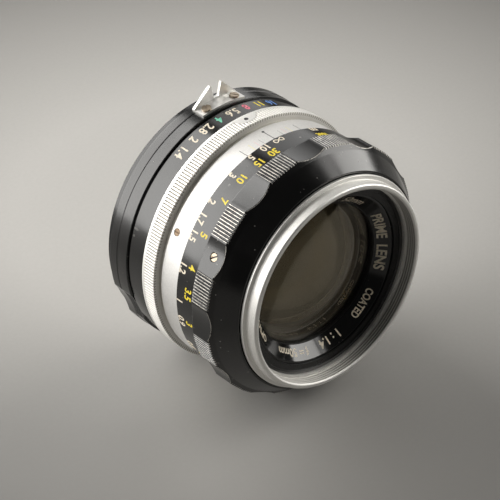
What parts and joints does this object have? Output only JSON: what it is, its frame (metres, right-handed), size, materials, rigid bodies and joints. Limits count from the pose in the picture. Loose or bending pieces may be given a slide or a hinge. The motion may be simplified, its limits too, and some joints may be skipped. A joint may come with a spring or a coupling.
{
  "type": "prime camera lens",
  "caption": "Manual-focus fast normal prime lens with scalloped focus ring, aperture ring with meter fork, iris, filter thread and three-lug bayonet.",
  "frame": {"origin": "centre of the mount flange's seating face, on the optical axis", "axes": "+Y along the optical axis towards the camera (the front glass faces -Y), +Z towards the index line and the meter fork, +X to the right as seen from the front"},
  "size_m": [0.0664, 0.056, 0.0705],
  "materials": {
    "black_paint": "semi-gloss black enamel, worn at the edges",
    "gloss_black": "gloss black",
    "black_inside": "black anodised aluminium",
    "satin_silver": "satin, clear anodised",
    "chrome": "bright, lightly worn",
    "steel": "plain",
    "blade_steel": "blackened spring steel",
    "brass": "turned",
    "bare_aluminium": "turned",
    "coated_glass": "single-layer amber coating"
  },
  "bodies": {
    "root": {"mount_flange": "chrome", "mount_screws": "steel", "rear_baffle": "black_inside", "fixed_barrel": "black_inside", "knurled_grip_ring": "satin_silver", "depth_scale_ring": "satin_silver", "depth_ring_screws": "steel", "focus_stop_pin": "steel", "helicoid_keys": "brass", "key_screws": "steel", "click_ball": "steel", "click_spring": "steel", "return_spring": "steel"},
    "aperture_ring": {"aperture_ring": "black_paint", "preset_ring": "black_inside", "coupling_fork": "chrome", "fork_screws": "steel"},
    "centre_helicoid": {"centre_helicoid": "brass"},
    "focus_ring": {"focus_ring": "black_paint", "focus_set_screws": "steel"},
    "lens_block": {"inner_helicoid": "bare_aluminium", "front_barrel": "black_inside", "filter_ring": "satin_silver", "name_ring": "gloss_black", "front_retaining_ring": "black_inside", "front_cell": "black_inside", "front_doublet_ring": "black_inside", "iris_housing": "black_inside", "iris_cover": "black_inside", "rear_cell": "black_inside", "rear_doublet_ring": "black_inside", "rear_spacer_front": "black_inside", "rear_spacer_back": "black_inside", "rear_retaining_ring": "black_inside", "element_1": "coated_glass", "element_2": "coated_glass", "element_3": "coated_glass", "element_4": "coated_glass", "element_5": "coated_glass", "element_6": "coated_glass", "element_7": "coated_glass"},
    "stop_down_lever": {"stop_down_lever": "steel"},
    "iris_actuator": {"iris_actuator": "steel"},
    "iris_blade_1": {"iris_blade_1": "blade_steel"},
    "iris_blade_2": {"iris_blade_2": "blade_steel"},
    "iris_blade_3": {"iris_blade_3": "blade_steel"},
    "iris_blade_4": {"iris_blade_4": "blade_steel"},
    "iris_blade_5": {"iris_blade_5": "blade_steel"},
    "iris_blade_6": {"iris_blade_6": "blade_steel"}
  },
  "joints": [
    {"name": "aperture_turn", "type": "hinge", "parent": "root", "child": "aperture_ring", "pos_m": [0, -0.009, 0], "axis": [0, -1, 0], "range_deg": [-30, 22.5]},
    {"name": "helicoid_travel", "type": "slide", "parent": "root", "child": "centre_helicoid", "axis": [0, -1, 0], "range_m": [0, 0.0025]},
    {"name": "focus_turn", "type": "hinge", "parent": "centre_helicoid", "child": "focus_ring", "pos_m": [0, -0.036, 0], "axis": [0, 1, 0], "range_deg": [0, 159]},
    {"name": "focus_travel", "type": "slide", "parent": "root", "child": "lens_block", "axis": [0, -1, 0], "range_m": [0, 0.00505]},
    {"name": "stop_down", "type": "hinge", "parent": "root", "child": "stop_down_lever", "pos_m": [0, -0.0036, 0], "axis": [0, -1, 0], "range_deg": [0, 15], "stiffness_Nm_per_rad": 0.002, "springref_deg": -8.59},
    {"name": "iris_turn", "type": "hinge", "parent": "lens_block", "child": "iris_actuator", "pos_m": [0, -0.021, 0], "axis": [0, -1, 0], "range_deg": [0, 15]},
    {"name": "blade_1_swing", "type": "hinge", "parent": "lens_block", "child": "iris_blade_1", "pos_m": [0, -0.0196, 0.0189], "axis": [0, -1, 0], "range_deg": [0, 31.6]},
    {"name": "blade_2_swing", "type": "hinge", "parent": "lens_block", "child": "iris_blade_2", "pos_m": [-0.01637, -0.0196, 0.00945], "axis": [0, -1, 0], "range_deg": [0, 31.6]},
    {"name": "blade_3_swing", "type": "hinge", "parent": "lens_block", "child": "iris_blade_3", "pos_m": [-0.01637, -0.0196, -0.00945], "axis": [0, -1, 0], "range_deg": [0, 31.6]},
    {"name": "blade_4_swing", "type": "hinge", "parent": "lens_block", "child": "iris_blade_4", "pos_m": [0, -0.0196, -0.0189], "axis": [0, -1, 0], "range_deg": [0, 31.6]},
    {"name": "blade_5_swing", "type": "hinge", "parent": "lens_block", "child": "iris_blade_5", "pos_m": [0.01637, -0.0196, -0.00945], "axis": [0, -1, 0], "range_deg": [0, 31.6]},
    {"name": "blade_6_swing", "type": "hinge", "parent": "lens_block", "child": "iris_blade_6", "pos_m": [0.01637, -0.0196, 0.00945], "axis": [0, -1, 0], "range_deg": [0, 31.6]}
  ],
  "couplings": [
    {"joint": "helicoid_travel", "follows": "focus_turn", "m_per_rad": 0.00090087},
    {"joint": "focus_travel", "follows": "focus_turn", "m_per_rad": 0.0018198},
    {"joint": "iris_turn", "follows": "stop_down", "ratio": 1},
    {"joint": "blade_1_swing", "follows": "stop_down", "ratio": 2.1},
    {"joint": "blade_2_swing", "follows": "stop_down", "ratio": 2.1},
    {"joint": "blade_3_swing", "follows": "stop_down", "ratio": 2.1},
    {"joint": "blade_4_swing", "follows": "stop_down", "ratio": 2.1},
    {"joint": "blade_5_swing", "follows": "stop_down", "ratio": 2.1},
    {"joint": "blade_6_swing", "follows": "stop_down", "ratio": 2.1}
  ]
}
